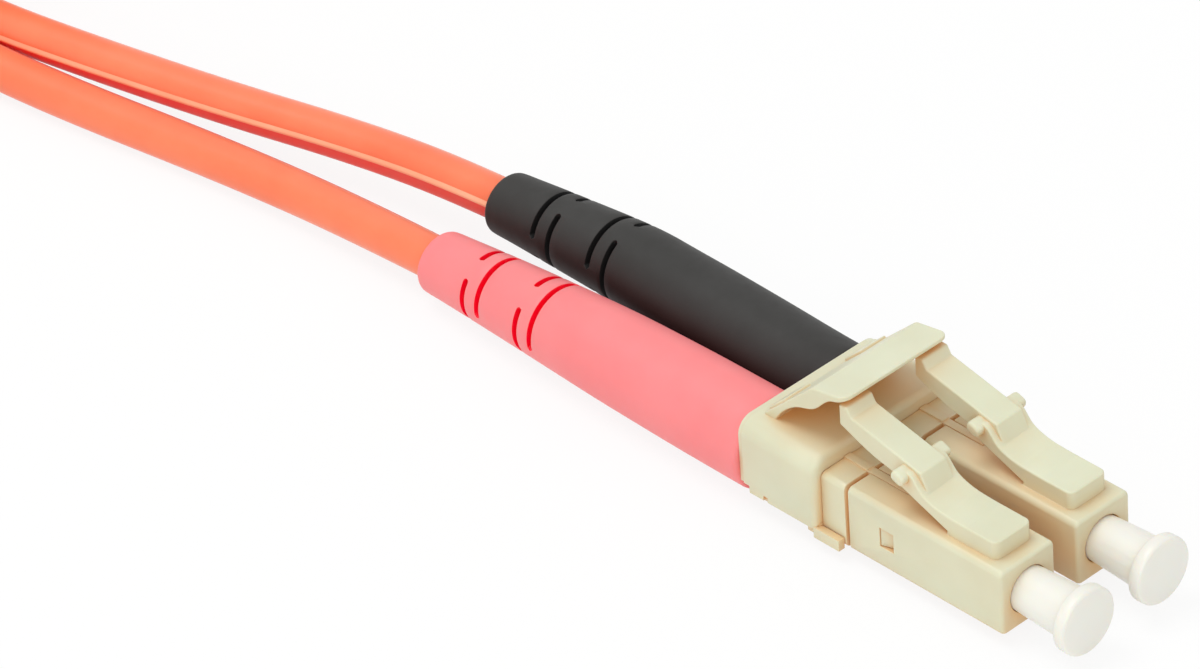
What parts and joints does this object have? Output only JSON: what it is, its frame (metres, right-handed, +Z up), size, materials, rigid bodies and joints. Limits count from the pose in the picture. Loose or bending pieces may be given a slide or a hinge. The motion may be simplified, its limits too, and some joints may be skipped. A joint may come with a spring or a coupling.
{
  "type": "duplex LC fibre connector",
  "caption": "Square-nosed latching fibre plugs side by side in a clip with a press trigger, with capped noses, slit boots and a tied length of cord.",
  "frame": {"origin": "under the middle of the pair without its cord, on the surface that its boots rest on", "axes": "+X the way the plugs go in, +Y from the red leg to the black leg, +Z up"},
  "size_m": [0.181, 0.0258, 0.0206],
  "materials": {
    "housing": "satin beige",
    "ceramic": "polished ceramic",
    "metal": "plated",
    "buffer": "smooth",
    "yarn": "fibrous",
    "cap": "satin white",
    "red_boot": "satin",
    "black_boot": "matt",
    "cord": "satin jacket",
    "tie": "woven strap"
  },
  "bodies": {
    "pair": {"red_front_housing": "housing", "red_rear_housing": "housing", "red_spring": "metal", "red_crimp_post": "metal", "red_yarn": "yarn", "red_crimp_sleeve": "metal", "red_boot": "red_boot", "red_cable": "cord", "black_front_housing": "housing", "black_rear_housing": "housing", "black_spring": "metal", "black_crimp_post": "metal", "black_yarn": "yarn", "black_crimp_sleeve": "metal", "black_boot": "black_boot", "black_cable": "cord", "clip": "housing", "cable_hank": "cord", "hank_tie": "tie"},
    "trigger": {"trigger": "housing"},
    "red_latch": {"red_latch": "housing"},
    "red_cap": {"red_dust_cap": "cap"},
    "red_ferrule": {"red_ferrule": "ceramic", "red_ferrule_flange": "metal", "red_buffered_fibre": "buffer"},
    "black_latch": {"black_latch": "housing"},
    "black_cap": {"black_dust_cap": "cap"},
    "black_ferrule": {"black_ferrule": "ceramic", "black_ferrule_flange": "metal", "black_buffered_fibre": "buffer"}
  },
  "joints": [
    {"name": "trigger_press", "type": "hinge", "parent": "pair", "child": "trigger", "pos_m": [0.0034, 0, 0.00639], "axis": [0, 1, 0], "range_deg": [0, 12.5], "stiffness_Nm_per_rad": 0.05},
    {"name": "red_latch_press", "type": "hinge", "parent": "pair", "child": "red_latch", "pos_m": [0.01751, -0.00313, 0.00541], "axis": [0, 1, 0], "range_deg": [-10.8, 0], "stiffness_Nm_per_rad": 0.03},
    {"name": "red_cap_pull", "type": "slide", "parent": "pair", "child": "red_cap", "axis": [1, 0, 0], "range_m": [0, 0.008]},
    {"name": "red_ferrule_push", "type": "slide", "parent": "pair", "child": "red_ferrule", "axis": [-1, 0, 0], "range_m": [0, 0.0008], "stiffness_N_per_m": 100, "deforming": ["red_spring"]},
    {"name": "black_latch_press", "type": "hinge", "parent": "pair", "child": "black_latch", "pos_m": [0.01751, 0.00313, 0.00541], "axis": [0, 1, 0], "range_deg": [-10.8, 0], "stiffness_Nm_per_rad": 0.03},
    {"name": "black_cap_pull", "type": "slide", "parent": "pair", "child": "black_cap", "axis": [1, 0, 0], "range_m": [0, 0.008]},
    {"name": "black_ferrule_push", "type": "slide", "parent": "pair", "child": "black_ferrule", "axis": [-1, 0, 0], "range_m": [0, 0.0008], "stiffness_N_per_m": 100, "deforming": ["black_spring"]}
  ],
  "couplings": [
    {"joint": "red_latch_press", "follows": "trigger_press", "ratio": -0.86},
    {"joint": "black_latch_press", "follows": "trigger_press", "ratio": -0.86}
  ]
}
